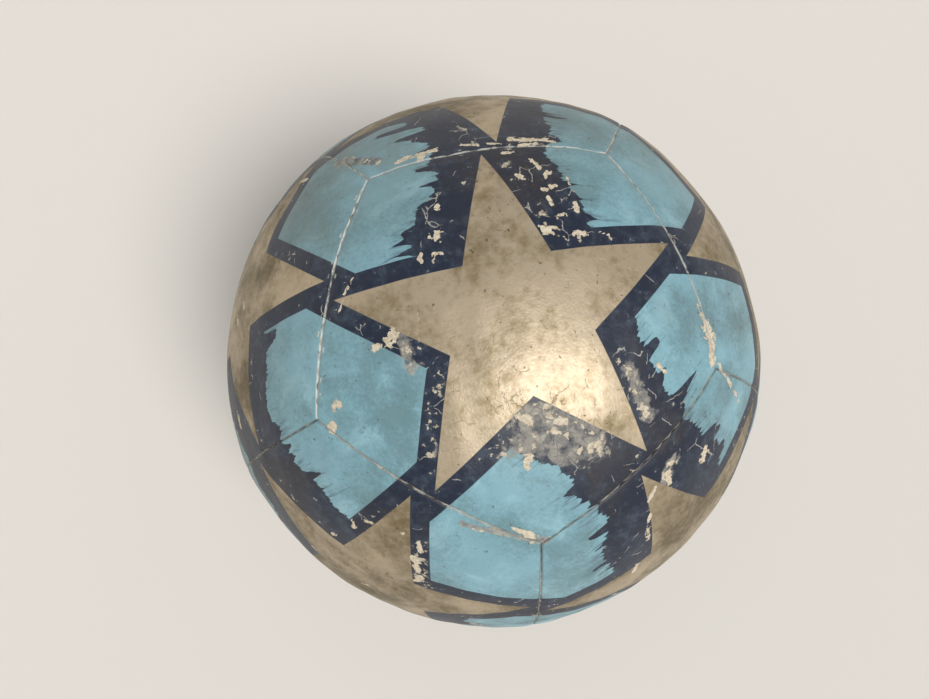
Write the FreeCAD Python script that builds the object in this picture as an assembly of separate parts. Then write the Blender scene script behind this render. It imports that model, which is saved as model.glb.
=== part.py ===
import FreeCAD, Part

import math
import os

# A size 5 football made of twelve five-sided panels. The origin is the centre of the ball, +Z goes
# through the middle of the top panel, and the valve is in the lower panel that faces -Y.

# The ball and its layers, in millimetres, from the outside inwards.
CORNER_RADIUS = 110.0       # ball centre to the outside of the cover where three seams meet
CROWN_RADIUS = 116.5        # each panel is a little flatter than the ball as a whole
SKIN_THICKNESS = 1.3
FOAM_THICKNESS = 2.2
LINING_THICKNESS = 0.7
LAYER_GAP = 0.05
BLADDER_THICKNESS = 0.8
BLADDER_CLEARANCE = 0.2     # between the bladder and the lining at the middle of a panel

# The seams.
SEAM_GAP = 0.2              # between the turned-in edges of two neighbouring panels
HEM_THICKNESS = 1.2
EDGE_ROUNDING = 1.4
THREAD_RADIUS = 0.22
THREAD_DEPTH = 0.7          # thread centre below the ridge of the seam
THREAD_END_MARGIN = 2.5     # thread stops this far before the corner

# The valve, along its own axis.
VALVE_INSET = 0.4           # valve face below the outside of the panel
COVER_HOLE_RADIUS = 5.0
NECK_RADIUS = 4.9
LAYER_HOLE_RADIUS = 5.2
SLEEVE_RADIUS = 5.6
SLEEVE_LENGTH = 17.0        # from the valve face to the inner end of the sleeve
FLANGE_RADIUS = 17.0
FLANGE_THICKNESS = 1.2
HEAD_SEAT_RADIUS = 3.7
HEAD_SEAT_DEPTH = 1.3
CORE_BORE_RADIUS = 2.45
CORE_RADIUS = 2.4
CORE_LENGTH = 18.0
CORE_NOSE_CHAMFER = 0.9
HEAD_RADIUS = 3.6
HEAD_THICKNESS = 1.2
HEAD_ROUNDING = 0.3
NEEDLE_RADIUS = 1.0
MOUTH_RADIUS = 1.7
MOUTH_DEPTH = 0.8

# The twelve faces of a regular dodecahedron.
SIDES = 5
SIDE_STEP = 360.0 / SIDES
GOLDEN = (1.0 + math.sqrt(5.0)) / 2.0
RING_LATITUDE = math.degrees(math.atan(0.5))
EDGE_ANGLE = (90.0 - RING_LATITUDE) / 2.0
CORNER_ANGLE = math.degrees(math.acos(math.sqrt((5.0 + 2.0 * math.sqrt(5.0)) / 15.0)))
HALF_SEAM_ANGLE = math.degrees(math.asin(1.0 / (GOLDEN * math.sqrt(3.0))))
UPPER_RING_START = 90.0
LOWER_RING_START = 270.0
VALVE_PANEL = "lower_1"

# Where the flatter panel surface has its centre, below the centre of the ball.
CORNER_SINE = math.sin(math.radians(CORNER_ANGLE))
CORNER_COSINE = math.cos(math.radians(CORNER_ANGLE))
CROWN_OFFSET = (math.sqrt(CROWN_RADIUS ** 2 - (CORNER_RADIUS * CORNER_SINE) ** 2)
                - CORNER_RADIUS * CORNER_COSINE)
PANEL_HEIGHT = CROWN_RADIUS - CROWN_OFFSET
VALVE_FACE = PANEL_HEIGHT - VALVE_INSET
LAMINATE = SKIN_THICKNESS + FOAM_THICKNESS + LINING_THICKNESS + 2.0 * LAYER_GAP
BLADDER_RADIUS = PANEL_HEIGHT - LAMINATE - BLADDER_CLEARANCE

ORIGIN = FreeCAD.Vector(0.0, 0.0, 0.0)
UP = FreeCAD.Vector(0.0, 0.0, 1.0)
ON_SURFACE = 0.01           # how near a point is to a surface that it lies on
OVERCUT = 1.0               # how far a cutting shape runs past what it cuts


def direction(azimuth, latitude):
    """Unit vector at an azimuth and a latitude in degrees."""
    turn = math.radians(azimuth)
    rise = math.radians(latitude)
    level = math.cos(rise)
    return FreeCAD.Vector(level * math.cos(turn), level * math.sin(turn), math.sin(rise))


def panel_normals():
    """Outward direction of each panel, by name."""
    normals = {"top": UP}
    for number in range(SIDES):
        turn = number * SIDE_STEP
        normals["upper_%d" % (number + 1)] = direction(UPPER_RING_START + turn, RING_LATITUDE)
        normals["lower_%d" % (number + 1)] = direction(LOWER_RING_START + turn, -RING_LATITUDE)
    normals["bottom"] = UP * -1.0
    return normals


NORMALS = panel_normals()


def neighbours(name):
    """Names of the five panels that share a seam with this one."""
    limit = math.cos(math.radians(90.0 - RING_LATITUDE)) - ON_SURFACE
    here = NORMALS[name]
    return [other for other in NORMALS if other != name and here.dot(NORMALS[other]) > limit]


def place(shape, name):
    """Turn a shape made about +Z so that it faces the way of a panel."""
    normal = NORMALS[name]
    towards = NORMALS[neighbours(name)[0]]
    level = towards - normal * towards.dot(normal)
    level.normalize()
    turned = shape.copy()
    turned.Placement = FreeCAD.Placement(
        ORIGIN, FreeCAD.Rotation(level, normal.cross(level), normal, "ZXY"))
    return turned


def crown(depth):
    """Ball bounded by the surface that lies a given depth below the outside of the panel."""
    return Part.makeSphere(CROWN_RADIUS - depth, FreeCAD.Vector(0.0, 0.0, -CROWN_OFFSET))


def panel_cone(inset):
    """Five-sided pyramid from the ball centre through the seams, with its sides moved inwards."""
    start = inset / math.sin(math.radians(EDGE_ANGLE))
    height = CROWN_RADIUS
    reach = (height - start) * math.tan(math.radians(CORNER_ANGLE))
    tip = FreeCAD.Vector(0.0, 0.0, start)
    corners = []
    for number in range(SIDES + 1):
        turn = math.radians((number + 0.5) * SIDE_STEP)
        corners.append(FreeCAD.Vector(reach * math.cos(turn), reach * math.sin(turn), height))
    faces = [Part.Face(Part.makePolygon(corners))]
    for number in range(SIDES):
        outline = [tip, corners[number], corners[number + 1], tip]
        faces.append(Part.Face(Part.makePolygon(outline)))
    return Part.makeSolid(Part.makeShell(faces))


def layer(outer_depth, inner_depth, inset):
    """Curved five-sided slab between two depths."""
    return crown(outer_depth).common(panel_cone(inset)).cut(crown(inner_depth))


def valve_rod(radius, bottom, top):
    """Cylinder on the valve axis."""
    return Part.makeCylinder(radius, top - bottom, FreeCAD.Vector(0.0, 0.0, bottom))


def outer_edges(shape):
    """The edges of a panel that lie all along its outside surface."""
    centre = FreeCAD.Vector(0.0, 0.0, -CROWN_OFFSET)
    found = []
    for edge in shape.Edges:
        middle = edge.valueAt((edge.FirstParameter + edge.LastParameter) / 2.0)
        points = [vertex.Point for vertex in edge.Vertexes] + [middle]
        misses = [abs(point.sub(centre).Length - CROWN_RADIUS) for point in points]
        if max(misses) < ON_SURFACE:
            found.append(edge)
    return found


def cover(with_valve):
    """Outer skin of one panel, with its edges turned inwards as hems."""
    inset = SEAM_GAP / 2.0
    body = layer(0.0, LAMINATE, inset)
    body = body.makeFillet(EDGE_ROUNDING, outer_edges(body))
    hollow = layer(SKIN_THICKNESS, LAMINATE + OVERCUT, inset + HEM_THICKNESS)
    body = body.cut(hollow)
    if with_valve:
        body = body.cut(valve_rod(COVER_HOLE_RADIUS, BLADDER_RADIUS, CORNER_RADIUS))
    return body


def foam(with_valve):
    """Foam backing that lies inside the hems, under the skin."""
    top = SKIN_THICKNESS + LAYER_GAP
    body = layer(top, top + FOAM_THICKNESS, SEAM_GAP / 2.0 + HEM_THICKNESS + LAYER_GAP)
    if with_valve:
        body = body.cut(valve_rod(LAYER_HOLE_RADIUS, BLADDER_RADIUS, CORNER_RADIUS))
    return body


def lining(with_valve):
    """Woven lining glued under the foam."""
    top = SKIN_THICKNESS + FOAM_THICKNESS + 2.0 * LAYER_GAP
    body = layer(top, top + LINING_THICKNESS, SEAM_GAP / 2.0 + HEM_THICKNESS + LAYER_GAP)
    if with_valve:
        body = body.cut(valve_rod(LAYER_HOLE_RADIUS, BLADDER_RADIUS, CORNER_RADIUS))
    return body


def bladder():
    """Hollow rubber ball that holds the air, with a hole for the neck of the valve."""
    inner_radius = BLADDER_RADIUS - BLADDER_THICKNESS
    body = Part.makeSphere(BLADDER_RADIUS).cut(Part.makeSphere(inner_radius))
    return body.cut(valve_rod(COVER_HOLE_RADIUS, inner_radius - OVERCUT, CORNER_RADIUS))


def valve_housing():
    """Moulded rubber housing: a flange under the bladder wall, a neck and a sleeve."""
    under_wall = BLADDER_RADIUS - BLADDER_THICKNESS - LAYER_GAP
    flange = Part.makeSphere(under_wall).cut(Part.makeSphere(under_wall - FLANGE_THICKNESS))
    flange = flange.common(valve_rod(FLANGE_RADIUS, 0.0, CORNER_RADIUS))
    joint_height = under_wall - FLANGE_THICKNESS / 2.0
    neck = valve_rod(NECK_RADIUS, joint_height, VALVE_FACE)
    sleeve_end = VALVE_FACE - SLEEVE_LENGTH
    sleeve = valve_rod(SLEEVE_RADIUS, sleeve_end, joint_height)
    body = flange.fuse([neck, sleeve]).removeSplitter()
    body = body.cut(valve_rod(CORE_BORE_RADIUS, sleeve_end - OVERCUT, CORNER_RADIUS))
    return body.cut(valve_rod(HEAD_SEAT_RADIUS, VALVE_FACE - HEAD_SEAT_DEPTH, CORNER_RADIUS))


def valve_core():
    """Push-in rubber plug with the needle passage through it."""
    bottom = VALVE_FACE - CORE_LENGTH
    head_bottom = VALVE_FACE - HEAD_THICKNESS
    nose = Part.makeCone(CORE_RADIUS - CORE_NOSE_CHAMFER, CORE_RADIUS, CORE_NOSE_CHAMFER,
                         FreeCAD.Vector(0.0, 0.0, bottom))
    stem = valve_rod(CORE_RADIUS, bottom + CORE_NOSE_CHAMFER, head_bottom + HEAD_THICKNESS / 2.0)
    rim_height = HEAD_THICKNESS - HEAD_ROUNDING
    head = valve_rod(HEAD_RADIUS, head_bottom, head_bottom + rim_height)
    rim = Part.makeCone(HEAD_RADIUS, HEAD_RADIUS - HEAD_ROUNDING, HEAD_ROUNDING,
                        FreeCAD.Vector(0.0, 0.0, head_bottom + rim_height))
    body = nose.fuse([stem, head, rim]).removeSplitter()
    body = body.cut(valve_rod(NEEDLE_RADIUS, bottom - OVERCUT, CORNER_RADIUS))
    mouth = Part.makeCone(NEEDLE_RADIUS, MOUTH_RADIUS, MOUTH_DEPTH,
                          FreeCAD.Vector(0.0, 0.0, VALVE_FACE - MOUTH_DEPTH))
    return body.cut(mouth)


def seam_thread(first, second):
    """Thread that lies in the groove of the seam between two panels."""
    here = NORMALS[first]
    there = NORMALS[second]
    middle = here + there
    middle.normalize()
    across = here - there
    across.normalize()
    along = across.cross(middle)
    sink = CROWN_OFFSET * math.cos(math.radians(EDGE_ANGLE))
    aside = CROWN_OFFSET * math.sin(math.radians(EDGE_ANGLE))
    centre = middle * -sink
    radius = math.sqrt(CROWN_RADIUS ** 2 - aside ** 2) - THREAD_DEPTH
    half_chord = CORNER_RADIUS * math.sin(math.radians(HALF_SEAM_ANGLE)) - THREAD_END_MARGIN
    half_sweep = math.asin(half_chord / radius)
    start = centre + middle * (radius * math.cos(half_sweep)) - along * half_chord
    heading = middle * math.sin(half_sweep) + along * math.cos(half_sweep)
    section = Part.Face(Part.Wire(Part.makeCircle(THREAD_RADIUS, start, heading)))
    return section.revolve(centre, middle.cross(along), 2.0 * math.degrees(half_sweep))


def seam_group(first_kind, second_kind):
    """All seam threads between two kinds of panel, such as the top one and the upper ones."""
    threads = []
    names = list(NORMALS)
    for number, first in enumerate(names):
        for second in names[number + 1:]:
            kinds = {first.split("_")[0], second.split("_")[0]}
            if second in neighbours(first) and kinds == {first_kind, second_kind}:
                threads.append(seam_thread(first, second))
    return Part.makeCompound(threads)


def export(shape, name):
    """Write one node as its own STEP file."""
    shape.exportStep("parts/%s.step" % name)
    print("%-24s %2d solids  %10.1f mm3  valid %s"
          % (name, len(shape.Solids), shape.Volume, shape.isValid()))


os.makedirs("parts", exist_ok=True)

for panel in NORMALS:
    has_valve = panel == VALVE_PANEL
    export(place(cover(has_valve), panel), "cover_" + panel)
    export(place(foam(has_valve), panel), "foam_" + panel)
    export(place(lining(has_valve), panel), "lining_" + panel)

export(place(bladder(), VALVE_PANEL), "bladder")
export(place(valve_housing(), VALVE_PANEL), "valve_housing")
export(place(valve_core(), VALVE_PANEL), "valve_core")

export(seam_group("top", "upper"), "thread_top_seams")
export(seam_group("upper", "upper"), "thread_upper_seams")
export(seam_group("upper", "lower"), "thread_middle_seams")
export(seam_group("lower", "lower"), "thread_lower_seams")
export(seam_group("lower", "bottom"), "thread_bottom_seams")
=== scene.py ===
import math
import random

import bpy
import numpy as np
from mathutils import Matrix, Vector


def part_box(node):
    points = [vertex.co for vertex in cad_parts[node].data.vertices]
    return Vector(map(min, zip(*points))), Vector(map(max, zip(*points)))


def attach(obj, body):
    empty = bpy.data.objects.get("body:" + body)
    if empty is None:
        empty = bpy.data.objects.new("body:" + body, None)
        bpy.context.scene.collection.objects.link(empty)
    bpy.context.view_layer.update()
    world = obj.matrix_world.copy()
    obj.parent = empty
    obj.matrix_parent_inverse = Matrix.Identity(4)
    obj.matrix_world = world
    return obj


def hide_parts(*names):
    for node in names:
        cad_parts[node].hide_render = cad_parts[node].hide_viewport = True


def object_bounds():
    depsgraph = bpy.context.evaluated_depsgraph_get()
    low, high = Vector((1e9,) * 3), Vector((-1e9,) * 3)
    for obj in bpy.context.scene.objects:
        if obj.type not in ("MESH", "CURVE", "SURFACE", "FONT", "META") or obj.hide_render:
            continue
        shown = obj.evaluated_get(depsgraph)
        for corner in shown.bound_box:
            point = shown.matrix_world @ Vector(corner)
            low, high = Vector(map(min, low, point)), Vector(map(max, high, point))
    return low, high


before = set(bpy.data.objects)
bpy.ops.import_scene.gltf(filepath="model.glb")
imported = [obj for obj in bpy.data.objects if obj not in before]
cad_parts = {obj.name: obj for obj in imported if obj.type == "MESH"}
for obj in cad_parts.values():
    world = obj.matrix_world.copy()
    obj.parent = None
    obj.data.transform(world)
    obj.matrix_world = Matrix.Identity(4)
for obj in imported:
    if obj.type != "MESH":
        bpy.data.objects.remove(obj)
cad_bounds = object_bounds()

# ---------------------------------------------------------------------------------------------
# Outer covers: twelve equal five-sided panels of synthetic leather, die-cut, printed and backed
# with foam. Their edges are turned in as hems and stitched to the next panel from inside.
# ---------------------------------------------------------------------------------------------

MM = 0.001

# The ball's layout: a dodecahedron's faces laid onto a sphere, two rings of five between two ends.
RING_LATITUDE = math.atan(0.5)
EDGE_ANGLE = math.pi / 4 - RING_LATITUDE / 2           # from a panel's middle to the middle of a seam
CORNER_ANGLE = math.atan(3 - math.sqrt(5))             # from a panel's middle to its corner
SEAM_HALF_ANGLE = math.acos(math.cos(CORNER_ANGLE) / math.cos(EDGE_ANGLE))
FIFTH = math.tau / 5
UPPER_START, LOWER_START = math.radians(90), math.radians(270)

# A panel is pulled a little flatter than the ball, so its seams stand out as low ridges.
CROWN_RADIUS = 116.5 * MM
PANEL_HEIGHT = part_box("cover_top")[1].z
CROWN_OFFSET = CROWN_RADIUS - PANEL_HEIGHT
SKIN = 1.3 * MM
SEAM_GAP = 0.16 * MM
FOLD_RADIUS = 0.65 * MM
HEM_DEPTH = 3.4 * MM
HEM_THICKNESS = 1.2 * MM
HEM_RINGS = 3
PUCKER_PITCH = 4.5 * MM

# The hole for the valve's head, in the middle of one panel.
HOLE_RADIUS = 5.0 * MM
HOLE_LIP = 0.5 * MM

# How finely a panel's mesh is cut, and how much coarser its inside is.
ROWS = 80
FOLD_ROWS = 9
INSIDE_STEP = 8
HOLE_ROW = 10
HOLE_BLEND_ROW = 34
INSIDE_RINGS = 8


def direction(azimuth, latitude):
    """The unit vector from the ball's centre, for angles in radians."""
    level = math.cos(latitude)
    return Vector((level * math.cos(azimuth), level * math.sin(azimuth), math.sin(latitude)))


def bearing(azimuth, latitude):
    """The same for angles in degrees."""
    return direction(math.radians(azimuth), math.radians(latitude))


panel_axis = {"top": Vector((0, 0, 1)), "bottom": Vector((0, 0, -1))}
for number in range(5):
    panel_axis[f"upper_{number + 1}"] = direction(UPPER_START + FIFTH * number, RING_LATITUDE)
    panel_axis[f"lower_{number + 1}"] = direction(LOWER_START + FIFTH * number, -RING_LATITUDE)

# Two opposite panels are printed with clean edges; the ten others are turned towards them.
CLEAN_PANEL = "upper_5"
SAME_LINE = 0.99                                       # axes with a larger cosine are one line
clean_axis = panel_axis[CLEAN_PANEL]


def is_clean(name):
    """Whether a panel is one of the two with clean edges."""
    return abs(panel_axis[name].dot(clean_axis)) > SAME_LINE


def panel_frame(name):
    """A panel's own axes as rows: X towards the edge that its print is turned to, Z outwards."""
    out = panel_axis[name]
    towards = clean_axis if out.dot(clean_axis) > 0 else -clean_axis
    if is_clean(name):
        towards = Vector((0, 0, math.copysign(1, out.z)))
    across = (towards - out * towards.dot(out)).normalized()
    return np.array([across, out.cross(across), out])


def smooth(value):
    """Eases a value from 0 to 1, and holds it outside."""
    value = np.clip(value, 0, 1)
    return value * value * (3 - 2 * value)


# Slow unevenness of a ball that has been kicked about: a sum of long waves, mostly inwards.
waves = random.Random(11)
WAVE_COUNT = 14
WAVE_DEPTH = 0.22 * MM
SLOWEST_WAVE, FASTEST_WAVE = 5, 19
wave_vectors = np.array([
    [waves.gauss(0, 1) for axis in range(3)] for wave in range(WAVE_COUNT)
])
wave_vectors *= np.array([[waves.uniform(SLOWEST_WAVE, FASTEST_WAVE)] for wave in range(WAVE_COUNT)])
wave_starts = np.array([waves.uniform(0, math.tau) for wave in range(WAVE_COUNT)])


def unevenness(places):
    """How far the cover lies under its true shape at each unit vector."""
    height = np.sin(places @ wave_vectors.T + wave_starts).sum(axis=1)
    return WAVE_DEPTH * (1 - height / math.sqrt(WAVE_COUNT))


def crown_radius(rise):
    """The panel's own radius, from the cosine of the angle to its axis."""
    side = CROWN_OFFSET ** 2 * (1 - rise ** 2)
    return np.sqrt(CROWN_RADIUS ** 2 - side) - CROWN_OFFSET * rise


def edge_distances(places, radius):
    """Distance from each local place to each of the panel's five edges, and along each edge."""
    from_edge, along_edge = [], []
    for side in range(5):
        turn = FIFTH * side
        inward = np.array([-math.cos(EDGE_ANGLE) * math.cos(turn),
                           -math.cos(EDGE_ANGLE) * math.sin(turn), math.sin(EDGE_ANGLE)])
        along = np.array([-math.sin(turn), math.cos(turn), 0])
        from_edge.append(radius * (places @ inward) - SEAM_GAP / 2)
        along_edge.append(radius * (places @ along))
    return np.array(from_edge), np.array(along_edge)


CORNER_SOFTNESS = 0.35 * MM
SHOULDER_DEPTH, SHOULDER_WIDTH = 0.30 * MM, 2.2 * MM
PUCKER_DEPTH, PUCKER_WIDTH = 0.10 * MM, 1.8 * MM


def cover_radius(places, outward):
    """The cover's outer radius at each local place: its crown, folded edges and stitch puckers."""
    radius = crown_radius(places[:, 2])
    from_edge, along_edge = edge_distances(places, radius)
    nearest = from_edge.min(axis=0)
    spread = np.exp(-(from_edge - nearest) / CORNER_SOFTNESS).sum(axis=0)
    inside = np.clip(nearest - CORNER_SOFTNESS * np.log(spread), 0, None)
    on_fold = np.clip(FOLD_RADIUS - inside, 0, FOLD_RADIUS)
    fold = FOLD_RADIUS - np.sqrt(FOLD_RADIUS ** 2 - on_fold ** 2)
    shoulder = SHOULDER_DEPTH * np.exp(-inside / SHOULDER_WIDTH)
    along = np.take_along_axis(along_edge, from_edge.argmin(axis=0)[None], axis=0)[0]
    pull = 0.5 + 0.5 * np.cos(math.tau * along / PUCKER_PITCH)
    pucker = PUCKER_DEPTH * pull * np.exp(-inside / PUCKER_WIDTH)
    return radius - fold - shoulder - pucker - unevenness(outward)


# A mesh row's distance from the edge follows the fold in equal turns, then evenly to the middle.
fold_share = FOLD_RADIUS / (PANEL_HEIGHT * math.tan(EDGE_ANGLE))
fold_steps = [1 - fold_share * (1 - math.cos(math.pi / 2 * row / FOLD_ROWS)) for row in range(FOLD_ROWS)]
flat_steps = np.linspace(0, 1 - fold_share, ROWS - FOLD_ROWS + 1)
row_shares = np.array(list(flat_steps) + fold_steps[::-1])


def panel_grid():
    """Flat places of a panel's mesh, its quads, and its rings from the middle outwards."""
    rim = math.tan(EDGE_ANGLE - SEAM_GAP / 2 / PANEL_HEIGHT)
    places = [np.zeros((1, 2))]
    numbers = np.zeros((5, ROWS + 1, ROWS + 1), int)
    first, second = np.meshgrid(row_shares, row_shares, indexing="ij")
    for corner in range(5):
        turn = FIFTH * corner
        start = rim * np.array([math.cos(turn), math.sin(turn)])
        end = rim * np.array([math.cos(turn + FIFTH), math.sin(turn + FIFTH)])
        middle_turn = turn + FIFTH / 2
        tip = rim / math.cos(FIFTH / 2) * np.array([math.cos(middle_turn), math.sin(middle_turn)])
        bilinear = (first[..., None] * (1 - second[..., None]) * start
                    + second[..., None] * (1 - first[..., None]) * end
                    + (first * second)[..., None] * tip)
        places.append(bilinear[1:].reshape(-1, 2))
        block = 1 + corner * ROWS * (ROWS + 1) + np.arange(ROWS * (ROWS + 1))
        numbers[corner, 1:] = block.reshape(ROWS, ROWS + 1)
    for corner in range(5):
        numbers[corner, 0, 1:] = numbers[(corner + 1) % 5, 1:, 0]
    quads = np.stack([numbers[:, :-1, :-1], numbers[:, 1:, :-1],
                      numbers[:, 1:, 1:], numbers[:, :-1, 1:]], axis=-1)
    rings = []
    for row in range(1, ROWS + 1):
        ring = [np.concatenate([numbers[corner, row, :row + 1], numbers[corner, row - 1:0:-1, row]])
                for corner in range(5)]
        rings.append(np.concatenate(ring))
    return np.concatenate(places), quads, rings


flat_places, panel_quads, panel_rings = panel_grid()


def on_sphere(flat):
    """Unit vectors for places on the flat sheet that touches the sphere at the panel's middle."""
    raised = np.column_stack([flat, np.ones(len(flat))])
    return raised / np.linalg.norm(raised, axis=1)[:, None]


def wall(loop, next_loop):
    """Quads between two loops of a closed panel that are listed counter-clockwise from outside."""
    return [(loop[i - 1], loop[i - 2], next_loop[i - 2], next_loop[i - 1]) for i in range(len(loop))]


def panel_shape(has_hole):
    """A panel's closed skin: local unit vectors, a depth under the cover's face for each, faces."""
    flat = flat_places.copy()
    quads = panel_quads.reshape(-1, 4)
    hole_flat = math.tan(HOLE_RADIUS / PANEL_HEIGHT)
    if has_hole:
        # The rows round the valve are drawn in from the panel's outline to a true circle.
        outer = row_shares[HOLE_BLEND_ROW] * math.tan(EDGE_ANGLE)
        lip_flat = hole_flat + HOLE_LIP / PANEL_HEIGHT
        for row in range(HOLE_ROW, HOLE_BLEND_ROW):
            share = (row - HOLE_ROW) / (HOLE_BLEND_ROW - HOLE_ROW)
            ring = panel_rings[row - 1]
            length = np.linalg.norm(flat[ring], axis=1)[:, None]
            circle = flat[ring] / length * (lip_flat + (outer - lip_flat) * share)
            flat[ring] = circle + (flat[ring] - circle) * smooth(share)
        quads = panel_quads[:, HOLE_ROW:, :].reshape(-1, 4).tolist()
        quads += panel_quads[:, :HOLE_ROW, HOLE_ROW:].reshape(-1, 4).tolist()
    faces = [tuple(quad) for quad in (quads if has_hole else quads.tolist())]
    places = [on_sphere(flat)]
    depths = [np.zeros(len(flat))]
    count = len(flat)

    def add_ring(new_places, depth):
        nonlocal count
        places.append(new_places)
        depths.append(np.full(len(new_places), depth))
        count += len(new_places)
        return list(range(count - len(new_places), count))

    # The hem: the folded edge goes on straight down into the seam.
    rim = list(panel_rings[-1])
    rim_places = places[0][rim]
    loop = rim
    for depth in np.linspace(0, HEM_DEPTH - FOLD_RADIUS, HEM_RINGS + 1)[1:]:
        low = add_ring(rim_places, depth)
        faces += wall(loop, low)
        loop = low
    coarse_flat = flat[rim][::INSIDE_STEP]
    hem_share = 1 - HEM_THICKNESS / (PANEL_HEIGHT * math.tan(EDGE_ANGLE))
    inner = add_ring(on_sphere(coarse_flat * hem_share), HEM_DEPTH)
    for step in range(len(inner)):
        here = [loop[(step * INSIDE_STEP + i) % len(loop)] for i in range(INSIDE_STEP, -1, -1)]
        faces.append(tuple(here) + (inner[step], inner[(step + 1) % len(inner)]))
    # The back of the skin, from the hem to the middle or to the valve's hole.
    length = np.linalg.norm(coarse_flat, axis=1)[:, None]
    middle_flat = coarse_flat / length * hole_flat if has_hole else coarse_flat * 0
    for ring in range(INSIDE_RINGS):
        share = ring / INSIDE_RINGS
        flat_ring = coarse_flat * hem_share * (1 - share) + middle_flat * share
        next_loop = add_ring(on_sphere(flat_ring), SKIN)
        faces += wall(inner, next_loop)
        inner = next_loop
    if has_hole:
        low = add_ring(on_sphere(middle_flat), SKIN)
        faces += wall(inner, low)
        loop = list(panel_rings[HOLE_ROW - 1])
        for turn in (30, 60, 90):
            lean = math.radians(turn)
            lip = HOLE_LIP / PANEL_HEIGHT * (1 - math.sin(lean))
            lip_ring = flat[panel_rings[HOLE_ROW - 1]]
            lip_ring = lip_ring / np.linalg.norm(lip_ring, axis=1)[:, None] * (hole_flat + lip)
            next_loop = add_ring(on_sphere(lip_ring), HOLE_LIP * (1 - math.cos(lean)))
            faces += [face[::-1] for face in wall(loop, next_loop)]
            loop = next_loop
        faces += [face[::-1] for face in wall(loop, low)]
    else:
        middle = add_ring(np.array([[0.0, 0.0, 1.0]]), SKIN)[0]
        faces += [(inner[i - 1], inner[i - 2], middle) for i in range(len(inner))]
    return np.concatenate(places), np.concatenate(depths), faces


# Wear that is placed mark by mark. Each stroke has its two ends, as azimuth and latitude in
# degrees, and its half width in millimetres: print chipped off to the cream base, places rubbed
# grey, and places where hairline cracks gather.
CHIPS = [
    ((125.5, 71), (126, 71.4), 2.5), ((116, 67), (117, 67.4), 1.0), ((141, 72), (138, 71.5), 1.1),
    ((181, 69.4), (179, 70.2), 2.3), ((184, 66.8), (183, 67.6), 1.3), ((131, 74), (135, 73), 0.8),
    ((-163, 57), (-163, 58.2), 1.7), ((-158.5, 55.2), (-157.5, 54.4), 1.7), ((-137, 44), (-136, 43), 1.2),
    ((116, 53.8), (106, 55.2), 1.5), ((109, 54.8), (111, 55.8), 1.2), ((98, 56), (93, 57), 0.8),
    ((83, 56.2), (70, 55.2), 1.3), ((80, 57.6), (75, 56.8), 1.0), ((90, 57), (86, 57.4), 0.7),
    ((77, 61), (73, 63), 0.8), ((70, 63.4), (71, 65), 1.2), ((66, 66), (71, 67.6), 0.9),
    ((63, 63.5), (61, 65), 0.7), ((54, 69), (56, 68), 1.0), ((68, 69), (65, 70), 0.9),
    ((67, 75), (60, 74.7), 1.8), ((50, 73.4), (44, 72), 1.1), ((36, 69), (40, 70), 0.7),
    ((59, 71), (62, 72), 1.0), ((78, 66), (82, 65), 0.9), ((86, 60), (82, 59.6), 0.8),
    ((-1, 57.8), (-6, 56.2), 1.2), ((-6, 56), (-12, 54.4), 2.7), ((-11, 54.6), (-17, 54.2), 2.1),
    ((-17, 52), (-23, 42), 0.9), ((-23, 66), (-25, 64), 0.9), ((-31, 72), (-30, 70.5), 0.8),
    ((-41, 65), (-41.5, 64.2), 1.2), ((-38, 48), (-41, 46.4), 1.7), ((-40, 47.6), (-38, 46), 1.1),
    ((-50, 53), (-51.5, 50.8), 1.6), ((-47, 53.4), (-49, 54), 1.1), ((-55, 52.6), (-59, 51), 0.9),
    ((-60, 48), (-62, 46), 0.8), ((-62, 45), (-63, 42), 1.0), ((-67, 35), (-68, 33), 1.3),
    ((-92, 54.8), (-98, 56.2), 1.0), ((-93.5, 55), (-92, 54), 1.6),
    ((-120.5, 44), (-118, 41.4), 1.9), ((-121, 48.5), (-119.5, 46.4), 1.1), ((-117, 39.4), (-117.6, 38), 1.6),
    ((-133, 46.6), (-135, 45.8), 1.0), ((-138, 37), (-138.6, 36.2), 1.0), ((-125, 48.6), (-127, 47.4), 0.8),
    ((-82, 72), (-77, 71.4), 1.3), ((-70, 68), (-73, 67), 1.1), ((-92, 68.5), (-93.5, 67), 1.5),
    ((-77, 73.5), (-73, 72.8), 1.2), ((-98, 75), (-92, 74.2), 1.6), ((-66, 69.5), (-62, 68.5), 1.0),
    ((157, 62.4), (163, 61.4), 0.55), ((165, 61.6), (169, 61), 0.5),
]
SCUFFS = [
    ((-99, 75.5), (-74, 73.5), 7.0), ((-92, 71.5), (-68, 69.5), 8.5), ((-80, 68), (-66, 66), 5.0),
    ((-46, 54), (-52, 52), 2.6), ((-112, 55.6), (-88, 53.2), 1.5), ((126, 41), (121, 50), 3.0),
    ((-41, 64), (-30, 71), 3.0), ((176, 71), (196, 72), 2.6),
]
OPEN_CRACKS = [
    ((80, 63), (58, 66), 13), ((72, 72), (50, 73), 8), ((130, 72), (118, 67), 8), ((-30, 70), (-34, 62), 9),
    ((-44, 50), (-34, 46), 10), ((112, 50), (92, 52), 12), ((-178, 70), (-176, 76), 9),
    ((-84, 71), (-66, 66), 10), ((-120, 46), (-118, 38), 9), ((-100, 80), (-112, 72), 9),
    ((-150, 74), (-128, 66), 9),
]

# The rest of the ball, below the cap that the lists cover, has wear of the same kinds at random.
wear = random.Random(5)
CAP_LATITUDE = 33
LEAST_STRETCH = 0.15                                   # keeps strokes near the pole from running round it
RANDOM_CHIPS, RANDOM_SCUFFS, RANDOM_CRACKS = 110, 8, 18


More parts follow.
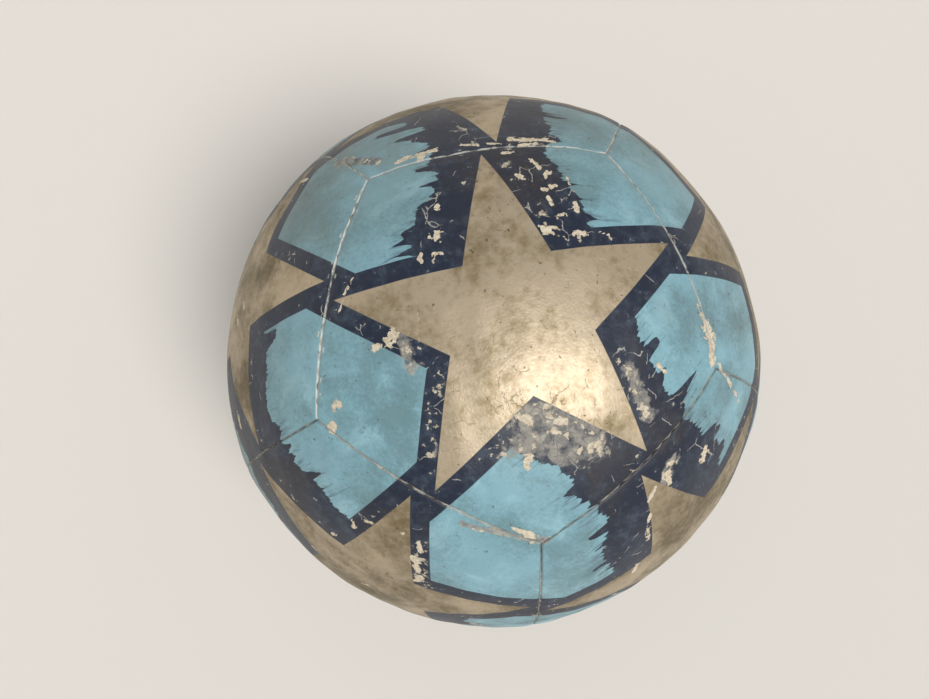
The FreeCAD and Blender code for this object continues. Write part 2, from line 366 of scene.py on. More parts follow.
def random_stroke(longest, thinnest, widest):
    """A short stroke at a random place, evenly spread over the ball below the cap."""
    latitude = math.degrees(math.asin(wear.uniform(-1, math.sin(math.radians(CAP_LATITUDE)))))
    azimuth = wear.uniform(-180, 180)
    turn, length = wear.uniform(0, math.tau), wear.uniform(0, longest)
    stretch = max(math.cos(math.radians(latitude)), LEAST_STRETCH)
    end = (azimuth + length * math.cos(turn) / stretch, max(latitude + length * math.sin(turn), -90))
    return (azimuth, latitude), end, wear.uniform(thinnest, widest)


chips = CHIPS + [random_stroke(3, 0.6, 1.9) for chip in range(RANDOM_CHIPS)]
scuffs = SCUFFS + [random_stroke(9, 3, 8) for scuff in range(RANDOM_SCUFFS)]
open_cracks = OPEN_CRACKS + [random_stroke(10, 6, 12) for crack in range(RANDOM_CRACKS)]


def stroke_field(outward, strokes):
    """1 on the middle line of the nearest stroke, 0 at its half width and -1 well outside."""
    field = np.full(len(outward), -1.0)
    for start, end, half_width in strokes:
        begin, finish = np.array(bearing(*start)), np.array(bearing(*end))
        run = finish - begin
        share = np.clip((outward - begin) @ run / max(run @ run, 1e-12), 0, 1)
        gap = np.linalg.norm(outward - begin - share[:, None] * run, axis=1) * PANEL_HEIGHT
        field = np.maximum(field, 1 - gap / (half_width * MM))
    return field


# How far the coating is rubbed off along each seam. The seams on the cap are set one by one.
SEAM_WEAR = {
    ("top", "upper_2"): 0.95, ("top", "upper_1"): 0.82, ("top", "upper_5"): 0.78,
    ("top", "upper_3"): 0.72, ("top", "upper_4"): 0.45, ("upper_1", "upper_2"): 0.8,
    ("upper_1", "upper_5"): 0.82, ("upper_4", "upper_5"): 0.6, ("upper_3", "upper_4"): 0.5,
    ("upper_2", "upper_3"): 0.62,
}


def seam_wear_of(first, second):
    """How worn the seam between two panels is, the same from either side."""
    pair = tuple(sorted((first, second), key=list(panel_axis).index))
    return SEAM_WEAR.get(pair, random.Random("-".join(pair)).uniform(0.25, 0.6))


def neighbours_of(name):
    """The panels that meet a panel's five edges, in the order of its sides."""
    axes = panel_frame(name)
    found = []
    for side in range(5):
        turn = FIFTH * side
        lean = math.sin(2 * EDGE_ANGLE)
        local = np.array([lean * math.cos(turn), lean * math.sin(turn), math.cos(2 * EDGE_ANGLE)])
        outward = local @ axes
        found.append(max(panel_axis, key=lambda other: np.array(panel_axis[other]) @ outward))
    return found


class Wire:
    """A socket in a material's nodes. The plain operators add Math or Vector Math nodes to it."""

    def __init__(self, finish, socket):
        self.finish = finish
        self.socket = socket

    def join(self, operation, first, second=None):
        values = [value for value in (first, second) if value is not None]
        wide = any(isinstance(value, Wire) and value.socket.type == "VECTOR" for value in values)
        kind = "ShaderNodeVectorMath" if wide else "ShaderNodeMath"
        return self.finish.node(kind, {"operation": operation}, dict(enumerate(values)))

    def __add__(self, other):
        return self.join("ADD", self, other)

    def __radd__(self, other):
        return self.join("ADD", other, self)

    def __sub__(self, other):
        return self.join("SUBTRACT", self, other)

    def __rsub__(self, other):
        return self.join("SUBTRACT", other, self)

    def __mul__(self, other):
        return self.join("MULTIPLY", self, other)

    def __truediv__(self, other):
        return self.join("DIVIDE", self, other)

    def __neg__(self):
        return self.join("MULTIPLY", self, -1.0)

    def __abs__(self):
        return self.join("ABSOLUTE", self)

    def __gt__(self, other):
        return self.join("GREATER_THAN", self, other)

    def __lt__(self, other):
        return self.join("LESS_THAN", self, other)


class Finish:
    """One material: its node tree, the method that adds a node, and the patterns made with it."""

    def __init__(self, name):
        self.material = bpy.data.materials.new(name)
        self.material.use_nodes = True
        self.tree = self.material.node_tree
        self.shader = self.tree.nodes["Principled BSDF"]

    def node(self, kind, settings, values, output=0):
        """Adds a node, sets its settings first, then fills its sockets with numbers or wires."""
        node = self.tree.nodes.new(kind)
        for name, value in settings.items():
            setattr(node, name, value)
        for name, value in values.items():
            self.fill(node.inputs[name], value)
        return Wire(self, node.outputs[output])

    def fill(self, socket, value):
        """Links a wire to a socket, or sets the socket's own number, vector or colour."""
        if isinstance(value, Wire):
            self.tree.links.new(value.socket, socket)
        elif socket.type == "VECTOR" and isinstance(value, (int, float)):
            socket.default_value = (value, value, value)
        else:
            socket.default_value = value

    def shade(self, **values):
        """Fills the shader's sockets, named with underscores for spaces."""
        for name, value in values.items():
            self.fill(self.shader.inputs[name.replace("_", " ")], value)

    def place(self):
        """Where a point lies on the ball, in metres from its centre."""
        return self.node("ShaderNodeTexCoord", {}, {}, "Object")

    def written(self, name, output="Fac"):
        """A value that the mesh carries at each of its points."""
        return self.node("ShaderNodeAttribute", {"attribute_name": name}, {}, output)

    def parts(self, vector):
        """The three numbers of a vector."""
        split = self.node("ShaderNodeSeparateXYZ", {}, {"Vector": vector})
        return [Wire(self, socket) for socket in split.socket.node.outputs]

    def vector(self, x, y, z):
        return self.node("ShaderNodeCombineXYZ", {}, {"X": x, "Y": y, "Z": z})

    def most(self, first, second):
        return self.node("ShaderNodeMath", {"operation": "MAXIMUM"}, {0: first, 1: second})

    def work(self, operation, first, second=0.0):
        """A Math node for what the operators don't cover, such as a sine."""
        return self.node("ShaderNodeMath", {"operation": operation}, {0: first, 1: second})

    def ease(self, value, low, high):
        """Goes smoothly from 0 at low to 1 at high, or back if high is the lower one."""
        return self.node("ShaderNodeMapRange", {"interpolation_type": "SMOOTHSTEP"},
                         {"Value": value, "From Min": low, "From Max": high})

    def clouds(self, place, per_metre, detail=3.0, roughness=0.55, distortion=0.0):
        """Soft random patches, about 0 to 1 with most near 0.5."""
        return self.node("ShaderNodeTexNoise", {"noise_dimensions": "3D"},
                         {"Vector": place, "Scale": per_metre, "Detail": detail,
                          "Roughness": roughness, "Distortion": distortion})

    def cells(self, place, per_metre, feature="F1"):
        """Distance to the nearest of many random points, or to the border between two."""
        return self.node("ShaderNodeTexVoronoi", {"feature": feature},
                         {"Vector": place, "Scale": per_metre}, "Distance")

    def mix(self, first, second, mask):
        """One colour over another, where the mask is 1."""
        node = self.tree.nodes.new("ShaderNodeMix")
        node.data_type = "RGBA"
        colours = [socket for socket in node.inputs if socket.type == "RGBA"]
        self.fill(node.inputs["Factor"], mask)
        self.fill(colours[0], first)
        self.fill(colours[1], second)
        return Wire(self, next(socket for socket in node.outputs if socket.type == "RGBA"))

    def relief(self, height):
        """Turns a height in millimetres into the shader's normal."""
        bump = self.node("ShaderNodeBump", {}, {"Height": height, "Distance": MM, "Strength": 1.0})
        self.fill(self.shader.inputs["Normal"], bump)


def colour(red, green, blue):
    """A display colour, 0 to 255, as the shader's linear colour."""
    linear = [((c / 255 + 0.055) / 1.055) ** 2.4 if c > 10 else c / 255 / 12.92 for c in (red, green, blue)]
    return (*linear, 1.0)


# The print: a five-pointed star of gold ink in each panel, a navy outline, and pale blue between.
STAR_TIP = math.radians(30.3)
STAR_NOTCH = math.radians(11.95)
STAR_TWIST = math.radians(2.97)
BAND = 6.2 * MM
INK_EDGE = 0.12 * MM
BRUSH_REACH, BRUSH_FLARE = 18.5 * MM, 0.22
GOLD, GOLD_DULL = colour(193, 177, 152), colour(142, 126, 92)
# Dark olive for dirt and painted shade on the gold, lower down on the ball.
OLIVE_DIRT_AND_SHADE = colour(84, 74, 42)
BLUE, BLUE_DULL, BLUE_FADED = colour(128, 171, 184), colour(94, 124, 128), colour(150, 190, 200)
# Grey for dirt and painted shade on the blue, on the side turned away from the key light.
BLUE_SOILED_SHADED = colour(92, 104, 98)
NAVY, NAVY_RUBBED = colour(22, 33, 53), colour(68, 82, 98)
BASE, BASE_YELLOWED = colour(218, 208, 188), colour(184, 168, 140)
RUBBED_DARK, RUBBED_LIGHT = colour(58, 66, 78), colour(178, 172, 160)
HAIRLINE = colour(176, 174, 166)
GRIME, THREAD_WHITE = colour(74, 62, 44), colour(208, 208, 200)

tip_place = np.array([math.sin(STAR_TIP), 0, math.cos(STAR_TIP)])
notch_place = np.array([math.sin(STAR_NOTCH) * math.cos(FIFTH / 2),
                        math.sin(STAR_NOTCH) * math.sin(FIFTH / 2), math.cos(STAR_NOTCH)])
star_side = np.cross(tip_place, notch_place)
star_side *= PANEL_HEIGHT * np.sign(star_side[2]) / np.linalg.norm(star_side)
seam_middle = (math.sin(EDGE_ANGLE), 0.0, math.cos(EDGE_ANGLE))


def folded(finish, x, y, twist):
    """Turns a place into its fifth of the panel: the turn left over, and the length."""
    turn = finish.work("ARCTAN2", y, x) - twist
    fifth = finish.work("ROUND", turn / FIFTH)
    length = finish.work("SQRT", x * x + y * y)
    return turn - fifth * FIFTH, length


def inside_star(finish, x, y, z):
    """Distance inside a panel's star, in metres, and less than zero outside it."""
    turn, length = folded(finish, x, y, STAR_TWIST)
    forward = length * finish.work("COSINE", turn)
    sideways = length * abs(finish.work("SINE", turn))
    return forward * float(star_side[0]) + sideways * float(star_side[1]) + z * float(star_side[2])


cover = Finish("printed_cover")
local_x, local_y, local_z = cover.parts(cover.written("place", "Vector"))
ball_place = cover.place()
brushed, lot, cracking = cover.parts(cover.written("lot", "Vector"))

# Each place in its own fifth of the panel, and seen from the panel across the nearest seam.
fifth_turn, flat_length = folded(cover, local_x, local_y, 0.0)
forward = flat_length * cover.work("COSINE", fifth_turn)
sideways = flat_length * cover.work("SINE", fifth_turn)
along_seam = sideways * PANEL_HEIGHT
from_seam = (local_z * math.sin(EDGE_ANGLE) - forward * math.cos(EDGE_ANGLE)) * PANEL_HEIGHT
towards_middle = (forward * seam_middle[0] + local_z * seam_middle[2]) * 2.0
across_x = towards_middle * seam_middle[0] - forward
across_z = towards_middle * seam_middle[2] - local_z
own_star = inside_star(cover, local_x, local_y, local_z)
next_star = inside_star(cover, across_x, -sideways, across_z)


# Dry-brushed navy covers the middle of some seams, with streaks that run towards the corners.
def dry_brush(turn):
    """Navy brushed over one edge: the solid part, and the broken haze at the ends of its streaks."""
    ahead = local_x * math.cos(turn) + local_y * math.sin(turn)
    aside = local_y * math.cos(turn) - local_x * math.sin(turn)
    run = aside * PANEL_HEIGHT
    depth = (local_z * math.sin(EDGE_ANGLE) - ahead * math.cos(EDGE_ANGLE)) * PANEL_HEIGHT
    end = (run > 0.0) * 0.31 + lot + turn
    bristles = cover.vector(depth, run * 0.13, end)
    slow = cover.clouds(bristles, 75.0, 1.0, 0.4) - 0.5
    spikes = cover.ease(cover.clouds(bristles, 190.0, 1.0, 0.5), 0.50, 0.80)
    hairs = cover.clouds(bristles, 800.0, 2.0, 0.7) - 0.5
    away = cover.ease(depth, 0.0, 3.0 * MM)
    uneven = (slow * 15.0 + spikes * 13.0 + hairs * 5.5) * MM * away
    short = BRUSH_REACH + depth * BRUSH_FLARE + uneven - abs(run)
    in_notches = abs(cover.work("ARCTAN2", aside, ahead) - STAR_TWIST) < FIFTH
    solid = cover.ease(short, -0.15 * MM, 0.25 * MM) * in_notches
    thin = cover.ease(hairs + slow * 0.3, 0.03, 0.14)
    haze = cover.ease(short, -8.0 * MM, 0.5 * MM) * thin * in_notches
    return solid, haze


left_solid, left_haze = dry_brush(FIFTH)
right_solid, right_haze = dry_brush(-FIFTH)
brush = cover.most(left_solid, right_solid) * brushed
brush_haze = cover.most(left_haze, right_haze) * brushed
nearest_star = cover.most(own_star, next_star)
outline = cover.ease(nearest_star, -BAND - INK_EDGE, -BAND + INK_EDGE)
navy_ink = cover.most(outline, brush)
gold_ink = cover.ease(own_star, -INK_EDGE, INK_EDGE)

# Wear, from what the mesh carries at each point and broken up by fine noise. Print and coating
# come off in small angular flakes, so each flake of a fine random mosaic goes or stays whole.
PLATES_PER_METRE, FLAKES_PER_METRE = 430.0, 620.0
warp = cover.node("ShaderNodeTexNoise", {},
                  {"Vector": ball_place, "Scale": 260.0, "Detail": 4.0}, "Color")
warped_place = ball_place + cover.node("ShaderNodeVectorMath", {"operation": "SCALE"},
                                       {0: warp, "Scale": 2.2 * MM})
speckle = cover.clouds(ball_place, 900.0, 4.0, 0.7)
patchy = cover.clouds(ball_place, 330.0, 5.0, 0.62)
broad = cover.clouds(ball_place, 38.0, 4.0, 0.6)
flakes = cover.parts(cover.node("ShaderNodeTexVoronoi", {},
                                {"Vector": warped_place, "Scale": FLAKES_PER_METRE}, "Color"))
plates = cover.parts(cover.node("ShaderNodeTexVoronoi", {},
                                {"Vector": warped_place, "Scale": PLATES_PER_METRE}, "Color"))
plate_edge = cover.cells(warped_place, PLATES_PER_METRE, "DISTANCE_TO_EDGE")
loosened = (flakes[0] - 0.5) * 0.85 + (patchy - 0.5) * 2.2
chip = cover.ease(cover.written("chipping") + loosened, 0.30, 0.36)
scuffing = cover.written("scuffing")
scuff = cover.ease(scuffing + (plates[1] - 0.5) * 0.6 + (patchy - 0.5) * 1.6, 0.05, 0.5)
scuff_tone = plates[0] * 0.35 + (patchy - 0.5) * 2.4 + (broad - 0.5) * 1.2 + 0.42
scuff_gap = cover.ease(plate_edge, 0.06, 0.01) * cover.ease(patchy, 0.46, 0.66)

hair_place = ball_place + cover.node("ShaderNodeVectorMath", {"operation": "SCALE"},
                                     {0: warp, "Scale": 3.4 * MM})
hairline = cover.ease(cover.cells(hair_place, 88.0, "DISTANCE_TO_EDGE"), 0.014, 0.005)
hair_where = cover.ease(cover.clouds(ball_place, 160.0, 3.0, 0.6) + cracking * 0.13, 0.58, 0.64)
crack = hairline * hair_where
print_edge = cover.ease(abs(nearest_star + BAND * 0.5), BAND * 0.5, BAND * 0.2)
edge_chip = print_edge * cover.ease(patchy + (flakes[1] - 0.5) * 0.25 + cracking * 0.12, 0.71, 0.74)

# The folded edges are rubbed through to the light base, in broken lines beside each seam.
seam_rub = cover.written("seam_wear")
rub_noise = cover.clouds(ball_place, 210.0, 4.0, 0.65)
rub_width = (seam_rub * 0.9 - 0.2 + (rub_noise - 0.5) * (2.6 - seam_rub * 1.9)) * MM
seam_line = cover.ease(from_seam, rub_width, rub_width - 0.3 * MM)
needle_marks = cover.ease(cover.work("COSINE", along_seam * (math.tau / PUCKER_PITCH)), 0.2, 0.7)
needle_line = cover.ease(abs(from_seam - 1.3 * MM), 0.42 * MM, 0.2 * MM) * needle_marks
needle_rub = needle_line * cover.ease(seam_rub + (rub_noise - 0.5) * 1.8, 0.95, 1.2)

# Dirt lies in the seams, in the pores and in broad smears, a little thicker low down. On the side
# turned away from the key light the blue is greyed, partly by dirt and partly with painted shade.
LIT_SIDE = bearing(-75, 55)
height = cover.parts(ball_place)[2] / PANEL_HEIGHT
blotches = cover.clouds(ball_place + (0.3, 0.1, 0.2), 24.0, 6.0, 0.62, 0.6)
dirt = cover.ease(blotches - height * 0.10, 0.40, 0.70)
# Larger lower down the ball, where the gold is darkened olive: partly dirt, partly painted shade.
low_dirt_and_shade = cover.ease(height + (blotches - 0.5) * 0.6, 0.92, 0.56)
facing_lit_side = cover.node("ShaderNodeVectorMath", {"operation": "DOT_PRODUCT"},
                   {0: ball_place, 1: LIT_SIDE / PANEL_HEIGHT}, "Value")
groove = cover.ease(from_seam, 0.9 * MM, 0.0)
grit = cover.ease(cover.clouds(ball_place, 620.0, 3.0, 0.6) + dirt * 0.1, 0.67, 0.73)

gold_base = cover.mix(GOLD, GOLD_DULL, cover.ease(broad * 0.6 + patchy * 0.4, 0.42, 0.66))
# Partly dirt, partly painted shade: the gold turns dark olive lower down on the ball.
olive = low_dirt_and_shade * cover.ease(broad + speckle * 0.3, 0.42, 0.86)
gold_base = cover.mix(gold_base, OLIVE_DIRT_AND_SHADE, olive * 0.75)
fading = cover.clouds(ball_place + (0.7, 0.2, 0.5), 62.0, 5.0, 0.66, 0.8)
blue_base = cover.mix(BLUE, BLUE_FADED, cover.ease(fading, 0.5, 0.72) * 0.8)
dulling = cover.ease(broad * 0.7 + fading * -0.3 + speckle * 0.3, 0.26, 0.48)
blue_base = cover.mix(blue_base, BLUE_DULL, dulling * 0.7)
# Partly dirt, partly painted shade: the blue greys on the side turned away from the key light.
soil_and_shade = cover.ease(facing_lit_side + (blotches - 0.5) * 0.6, 0.72, 0.15) * cover.ease(fading, 0.30, 0.60)
blue_base = cover.mix(blue_base, BLUE_SOILED_SHADED, soil_and_shade * 0.6)
blue_base = cover.mix(blue_base, NAVY_RUBBED, brush_haze * 0.6)
navy_base = cover.mix(NAVY, NAVY_RUBBED, cover.ease(patchy * 0.6 + fading * 0.4, 0.46, 0.66) * 0.6)
ink = cover.mix(blue_base, navy_base, navy_ink)
ink = cover.mix(ink, gold_base, gold_ink)
ink = cover.mix(ink, GRIME, dirt * 0.42)
scuff_shown = scuff * (1.0 - gold_ink) * (1.0 - scuff_gap * 0.6)
ink = cover.mix(ink, cover.mix(RUBBED_DARK, RUBBED_LIGHT, scuff_tone), scuff_shown * 0.85)
dark_ink = navy_ink * (1.0 - gold_ink)
ink = cover.mix(ink, HAIRLINE, crack * (dark_ink * 0.7 + 0.15))
bare = cover.most(chip, edge_chip * (1.0 - gold_ink) * 0.8)
bare_plate = cover.ease(plates[2] + (patchy - 0.5) * 0.8, 0.90, 0.93)
bare = cover.most(bare, scuff * (1.0 - gold_ink) * bare_plate * 0.9)
ink = cover.mix(ink, cover.mix(BASE, BASE_YELLOWED, cover.ease(speckle, 0.35, 0.7)), bare)
broken_line = 1.0 - dark_ink * cover.ease(rub_noise, 0.53, 0.46) * 0.8
rubbed_seam = cover.most(seam_line * broken_line * 0.85, needle_rub * 0.8)
ink = cover.mix(ink, THREAD_WHITE, rubbed_seam * cover.ease(speckle, 0.2, 0.5))
clean_seam = 1.0 - cover.ease(seam_rub, 0.6, 0.95)
ink = cover.mix(ink, GRIME, cover.most(groove * clean_seam * 0.5, grit * 0.7) * (1.0 - bare * 0.5))
worn = cover.most(cover.most(bare, rubbed_seam), scuff * (1.0 - gold_ink))

grain = cover.cells(ball_place, 1150.0) * 0.030 + cover.clouds(ball_place, 2400.0, 2.0) * 0.014
wrinkle = cover.clouds(ball_place, 95.0, 4.0, 0.5, 0.4) * 0.30
surface = grain + wrinkle + navy_ink * 0.012 + gold_ink * 0.012 - bare * 0.11 - crack * 0.08
surface = surface + scuff * (plates[0] * 0.08 - scuff_gap * 0.08) + grit * 0.03
cover.shade(
    Base_Color=ink,
    Metallic=gold_ink * (1.0 - worn) * (1.0 - dirt * 0.6) * 0.64,
    Roughness=0.46 + gold_ink * 0.04 + worn * 0.30 + dirt * 0.14 + (patchy - 0.5) * 0.2,
)
cover.shader.inputs["IOR"].default_value = 1.5
cover.relief(surface)


def new_piece(name, points, faces, finish, body, nodes):
    """A shown piece from its mesh: smooth, with its finish, riding on a body in place of nodes."""
    mesh = bpy.data.meshes.new(name)
    mesh.from_pydata(points, [], faces)
    mesh.shade_smooth()
    mesh.materials.append(finish.material)
    piece = bpy.data.objects.new(name, mesh)
    bpy.context.scene.collection.objects.link(piece)
    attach(piece, body)
    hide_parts(*nodes)
    return piece


def write(mesh, name, values, kind="FLOAT"):
    """Stores a value for each of the mesh's points."""
    attribute = mesh.attributes.new(name, kind, "POINT")
    field = "vector" if kind == "FLOAT_VECTOR" else "value"
    attribute.data.foreach_set(field, np.asarray(values, np.float32).ravel())


VALVE_PANEL = "lower_1"
LOT_STEP = 1.3                                         # sets each panel's brushing apart from the last
plain_shape, holed_shape = panel_shape(False), panel_shape(True)
for number, name in enumerate(panel_axis):
    has_hole = name == VALVE_PANEL
    places, depths, faces = holed_shape if has_hole else plain_shape
    axes = panel_frame(name)
    outward = places @ axes
    radius = cover_radius(places, outward) - depths
    # The back hangs from the plain crown. The hem hangs from the folded edge, and the lip of the
    # valve's hole from the cover's face.
    plain = crown_radius(places[:, 2]) - depths
    back_start = len(flat_places) + HEM_RINGS * len(panel_rings[-1])
    back_rings = INSIDE_RINGS + (2 if has_hole else 1)
    lip_start = back_start + back_rings * (len(panel_rings[-1]) // INSIDE_STEP)
    order = np.arange(len(places))
    on_lip = (order >= lip_start) & has_hole
    radius = np.where((order >= back_start) & ~on_lip, plain, radius)
    points = outward * radius[:, None]
    used = np.unique(np.concatenate([np.array(face) for face in faces]))
    renumber = np.full(len(places), -1)
    renumber[used] = np.arange(len(used))
    faces = [tuple(renumber[list(face)].tolist()) for face in faces]
    piece = new_piece(f"panel_{name}", points[used].tolist(), faces, cover,
                      "ball", [f"cover_{name}"])
    mesh = piece.data
    turn = np.arctan2(places[:, 1], places[:, 0])
    side = np.round(turn / FIFTH).astype(int) % 5
    seam_values = np.array([seam_wear_of(name, other) for other in neighbours_of(name)])
    is_brushed = 0.0 if is_clean(name) else 1.0
    cracks = np.clip(stroke_field(outward, open_cracks), 0, 1)
    lot_values = np.column_stack([np.full(len(places), is_brushed),
                                  np.full(len(places), LOT_STEP * number), cracks])
    write(mesh, "place", places[used], "FLOAT_VECTOR")
    write(mesh, "lot", lot_values[used], "FLOAT_VECTOR")
    write(mesh, "chipping", stroke_field(outward, chips)[used])
    write(mesh, "scuffing", stroke_field(outward, scuffs)[used])
    write(mesh, "seam_wear", seam_values[side][used])

# ---------------------------------------------------------------------------------------------
# Seam thread: waxed polyester, one run in each of the 30 seams. It joins the hems from inside,
# so only a slanted stitch shows now and then between the two folded edges.
# ---------------------------------------------------------------------------------------------

THREAD_RADIUS = 0.20 * MM
THREAD_SIDES = 6
STITCH_STEPS = 12
THREAD_MARGIN = 2.5 * MM
THREAD_SWAY = 0.04 * MM
THREAD_TOP, THREAD_LOW = 0.85 * MM, 1.4 * MM
PROUD_SEAM, PROUD_TOP = ("top", "upper_2"), 0.45 * MM
NEIGHBOURS = 0.3                                       # panels that meet have axes with a larger cosine
TIP_SIZE = 0.35                                        # a tube's end, as a share of its thickness

thread = Finish("waxed_thread")
thread_place = thread.place()
fibre = thread.clouds(thread_place, 2600.0, 3.0, 0.6)
soiling = thread.ease(thread.clouds(thread_place, 90.0, 3.0, 0.6), 0.38, 0.66)
thread.shade(
    Base_Color=thread.mix(thread.mix(THREAD_WHITE, colour(168, 164, 150), fibre), GRIME, soiling * 0.75),
    Roughness=0.55 + fibre * 0.3,
)
thread.relief(fibre * 0.08)


def tube(line, radius, sides, points, faces):
    """Adds a closed round tube along a line of places, tapering to its ends."""
    start = len(points)
    line = np.array(line)
    runs = np.gradient(line, axis=0)
    runs /= np.linalg.norm(runs, axis=1)[:, None]
    out = line / np.linalg.norm(line, axis=1)[:, None]
    side = np.cross(runs, out)
    side /= np.linalg.norm(side, axis=1)[:, None]
    up = np.cross(side, runs)
    last = len(line) - 1
    for step in range(len(line)):
        share = min(step, last - step) / 2
        size = radius * min(1.0, TIP_SIZE + (1 - TIP_SIZE) * share)
        for corner in range(sides):
            turn = math.tau * corner / sides
            point = line[step] + size * (math.cos(turn) * side[step] + math.sin(turn) * up[step])
            points.append(tuple(point))
    for step in range(last):
        for corner in range(sides):
            a, b = start + step * sides + corner, start + step * sides + (corner + 1) % sides
            faces.append((a, a + sides, b + sides, b))
    faces.append(tuple(start + corner for corner in range(sides)))
    faces.append(tuple(start + last * sides + corner for corner in reversed(range(sides))))


names = list(panel_axis)
seams = [
    (first, second) for i, first in enumerate(names) for second in names[i + 1:]
    if panel_axis[first].dot(panel_axis[second]) > NEIGHBOURS
]


def seam_group(first, second):
    """Which of the five runs of like seams a seam belongs to."""
    kinds = {first.split("_")[0], second.split("_")[0]}
    if kinds == {"upper", "lower"}:
        return "middle"
    return next(kind for kind in ("top", "bottom", "upper", "lower") if kind in kinds)


def stitch_line(first, second):
    """The thread's path in one seam: up between the folded edges and down again at each stitch."""
    middle = np.array((panel_axis[first] + panel_axis[second]).normalized())
    along = np.array(panel_axis[first].cross(panel_axis[second]).normalized())
    across = np.cross(middle, along)
    top = PROUD_TOP if (first, second) == PROUD_SEAM else THREAD_TOP
    half = SEAM_HALF_ANGLE * PANEL_HEIGHT - THREAD_MARGIN
    steps = int(2 * half / PUCKER_PITCH * STITCH_STEPS)
    line = []
    for step in range(steps + 1):
        run = -half + 2 * half * step / steps
        angle = run / PANEL_HEIGHT
        place = middle * math.cos(angle) + along * math.sin(angle)
        rise = math.cos(angle) * math.cos(EDGE_ANGLE)
        phase = math.tau * run / PUCKER_PITCH
        depth = (top + THREAD_LOW) / 2 + (THREAD_LOW - top) / 2 * math.cos(phase)
        sway = THREAD_SWAY * math.sin(phase)
        line.append(place * float(crown_radius(np.array(rise)) - depth) + across * sway)
    return line


# Where a thread has broken: the seam, how far along it, and how many loose fibres stand up.
BREAKS = [("top", "upper_5", 0.55, 4), ("top", "upper_1", 0.30, 2), ("top", "upper_2", 0.62, 2),
          ("upper_3", "upper_4", 0.45, 3), ("upper_3", "lower_1", 0.50, 3), ("lower_3", "lower_4", 0.35, 3),
          ("upper_5", "lower_3", 0.60, 3)]
WHISKER_STEPS, BREAK_SPREAD = 9, 9
fray = random.Random(3)
for group in ("top", "upper", "middle", "lower", "bottom"):
    points, faces = [], []
    for seam in seams:
        if seam_group(*seam) != group:
            continue
        line = stitch_line(*seam)
        tube(line, THREAD_RADIUS, THREAD_SIDES, points, faces)
        for share, count in [(share, count) for *pair, share, count in BREAKS if tuple(pair) == seam]:
            for end in range(count):
                shift = fray.randrange(-BREAK_SPREAD, BREAK_SPREAD + 1)
                root = np.array(line[int(share * len(line)) + shift])
                out = root / np.linalg.norm(root)
                lean = np.cross(out, np.array([fray.gauss(0, 1) for axis in range(3)]))
                lean /= np.linalg.norm(lean)
                length = fray.uniform(2.0, 4.0) * MM
                whisker = [root + out * (0.55 * length * math.sin(2.4 * step)) + lean * length * step ** 1.5
                           for step in np.linspace(0, 1, WHISKER_STEPS)]
                tube(whisker, THREAD_RADIUS / 2, THREAD_SIDES, points, faces)
    new_piece(f"stitching_{group}", points, faces, thread, "ball", [f"thread_{group}_seams"])

# ---------------------------------------------------------------------------------------------
# Valve: a soft rubber housing moulded into the bladder, whose neck fills the hole in the cover,
# and a push-in plug of harder rubber with the needle passage. Both keep their CAD shape.
# ---------------------------------------------------------------------------------------------


def rubber(name, dark, light, roughness, spots_per_metre):
    """Moulded rubber: faint mould texture and pores, pale patches of bloom and a dull sheen."""
    finish = Finish(name)
    place = finish.place()
    bloom = finish.ease(finish.clouds(place, 160.0, 4.0, 0.6), 0.4, 0.75)
    pores = finish.cells(place, spots_per_metre)
    finish.shade(
        Base_Color=finish.mix(dark, light, bloom),
        Roughness=roughness + bloom * 0.2,
    )
    finish.relief(pores * 0.05 + finish.clouds(place, 500.0, 3.0) * 0.05)
    return finish


def dress(node, finish):
    """Gives a CAD node's shown object a finish in all its material slots."""
    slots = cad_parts[node].material_slots
    if not slots:
        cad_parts[node].data.materials.append(finish.material)
    for slot in slots:
        slot.link = "OBJECT"
        slot.material = finish.material


dress("valve_housing", rubber("valve_housing_rubber", colour(38, 38, 40), colour(70, 68, 64), 0.55, 1400.0))
dress("valve_core", rubber("valve_plug_rubber", colour(52, 50, 48), colour(96, 92, 84), 0.5, 1700.0))

# ---------------------------------------------------------------------------------------------
# Inside the covers: a butyl bladder, and on each panel a pad of closed-cell foam and a lining of
# woven cotton and polyester that keeps the panel from stretching. Glued flat to the panels.
# ---------------------------------------------------------------------------------------------

dress("bladder", rubber("bladder_butyl", colour(34, 33, 34), colour(58, 55, 52), 0.6, 900.0))

foam = Finish("closed_cell_foam")
foam_place = foam.place()
foam_cells = foam.cells(foam_place, 1300.0)
foam_tone = foam.ease(foam.clouds(foam_place, 120.0), 0.35, 0.7)
foam.shade(
    Base_Color=foam.mix(colour(226, 220, 204), colour(198, 188, 164), foam_tone),
    Roughness=0.85 + foam_cells * 0.1,
)
foam.relief(foam_cells * 0.2)

lining = Finish("woven_lining_cloth")
weave_x, weave_y, weave_z = lining.parts(lining.place())
THREADS_PER_METRE = 1250.0 * math.tau
warp_yarn = lining.work("SINE", (weave_x + weave_z) * THREADS_PER_METRE)
weft_yarn = lining.work("SINE", (weave_y - weave_z) * THREADS_PER_METRE)
weave = warp_yarn * weft_yarn
lining.shade(
    Base_Color=lining.mix(colour(214, 208, 192), colour(176, 168, 148), lining.ease(weave, -0.5, 0.8)),
    Roughness=0.8 + weave * 0.08,
)
lining.relief(weave * 0.12)

for name in panel_axis:
    dress(f"foam_{name}", foam)
    dress(f"lining_{name}", lining)

# ---------------------------------------------------------------------------------------------
# Setting: a plain pale floor that curves up at its rim, a soft key light from high in front and to
# the right, a weak light from all round, and the camera above and a little in front of the ball.
# ---------------------------------------------------------------------------------------------

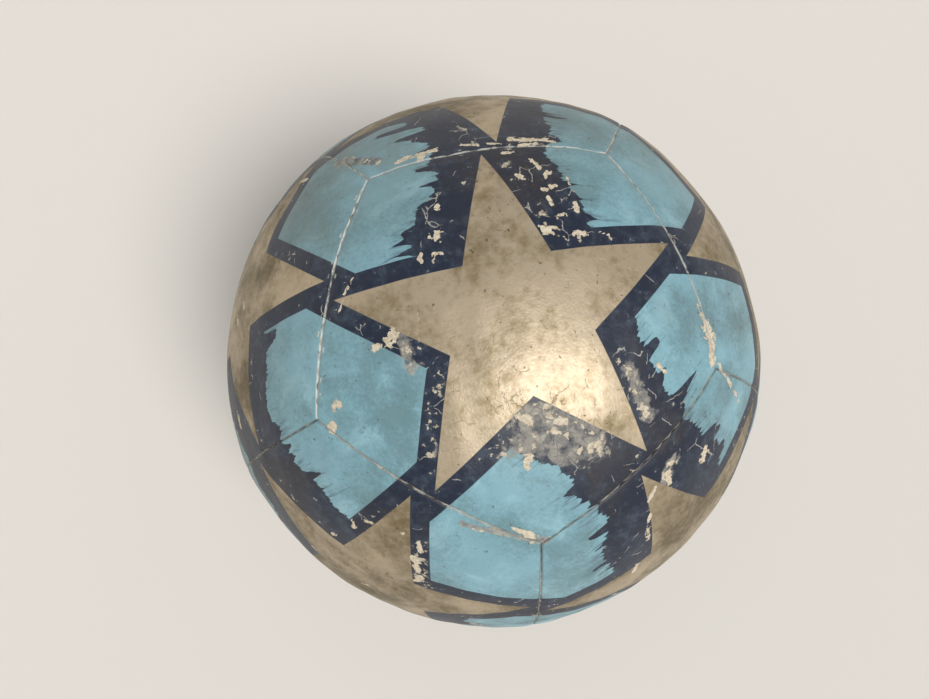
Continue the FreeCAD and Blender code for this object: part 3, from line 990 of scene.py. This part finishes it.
FLOOR_RADIUS, COVE_RADIUS, WALL_HEIGHT = 3.0, 1.4, 3.4
STAGE_SIDES, COVE_STEPS = 96, 12
KEY_STRENGTH, KEY_SPREAD, KEY_COLOUR = 2.6, math.radians(32), (1.0, 0.975, 0.945)
KEY_FROM = bearing(-54, 61)
ROUND_STRENGTH, ROUND_COLOUR = 0.42, (0.88, 0.92, 0.97, 1.0)
floor_height = cad_bounds[0].z
profile = [(FLOOR_RADIUS, 0.0)]
profile += [(FLOOR_RADIUS + COVE_RADIUS * math.sin(turn), COVE_RADIUS * (1 - math.cos(turn)))
            for turn in np.linspace(0, math.pi / 2, COVE_STEPS + 1)[1:]]
profile.append((FLOOR_RADIUS + COVE_RADIUS, WALL_HEIGHT))
stage_points = [(0.0, 0.0, floor_height)]
stage_faces = []
for ring, (distance, rise) in enumerate(profile):
    for side in range(STAGE_SIDES):
        turn = math.tau * side / STAGE_SIDES
        stage_points.append((distance * math.cos(turn), distance * math.sin(turn), floor_height + rise))
        here, beside = 1 + ring * STAGE_SIDES + side, 1 + ring * STAGE_SIDES + (side + 1) % STAGE_SIDES
        if ring == 0:
            stage_faces.append((0, here, beside))
        else:
            stage_faces.append((here - STAGE_SIDES, here, beside, beside - STAGE_SIDES))
floor_mesh = bpy.data.meshes.new("floor")
floor_mesh.from_pydata(stage_points, [], stage_faces)
floor_mesh.shade_smooth()
paper = Finish("pale_floor")
paper.shade(Base_Color=colour(216, 212, 206), Roughness=0.95)
floor_mesh.materials.append(paper.material)
floor = bpy.data.objects.new("floor", floor_mesh)
bpy.context.scene.collection.objects.link(floor)

key = bpy.data.lights.new("key_light", "SUN")
key.energy = KEY_STRENGTH
key.angle = KEY_SPREAD
key.color = KEY_COLOUR
key_holder = bpy.data.objects.new("key_light", key)
key_holder.rotation_euler = (-KEY_FROM).to_track_quat("-Z", "Y").to_euler()
bpy.context.scene.collection.objects.link(key_holder)

world = bpy.data.worlds.new("studio")
world.use_nodes = True
world.node_tree.nodes["Background"].inputs["Color"].default_value = ROUND_COLOUR
world.node_tree.nodes["Background"].inputs["Strength"].default_value = ROUND_STRENGTH
bpy.context.scene.world = world
bpy.context.scene.view_settings.view_transform = "Standard"

CAMERA_PLACE = Vector((-0.02853, -0.02992, 0.30903))
CAMERA_RIGHT = Vector((0.990742, -0.128636, 0.043394))
CAMERA_UP = Vector((0.122688, 0.985229, 0.119467))
CAMERA_LENS = 27.7
camera = bpy.data.cameras.new("camera")
camera.lens = CAMERA_LENS
camera.clip_start = 0.01
holder = bpy.data.objects.new("camera", camera)
across = CAMERA_RIGHT.normalized()
behind = across.cross(CAMERA_UP).normalized()
upward = behind.cross(across)
turned = Matrix((across, upward, behind)).transposed().to_4x4()
holder.matrix_world = Matrix.Translation(CAMERA_PLACE) @ turned
bpy.context.scene.collection.objects.link(holder)
bpy.context.scene.camera = holder
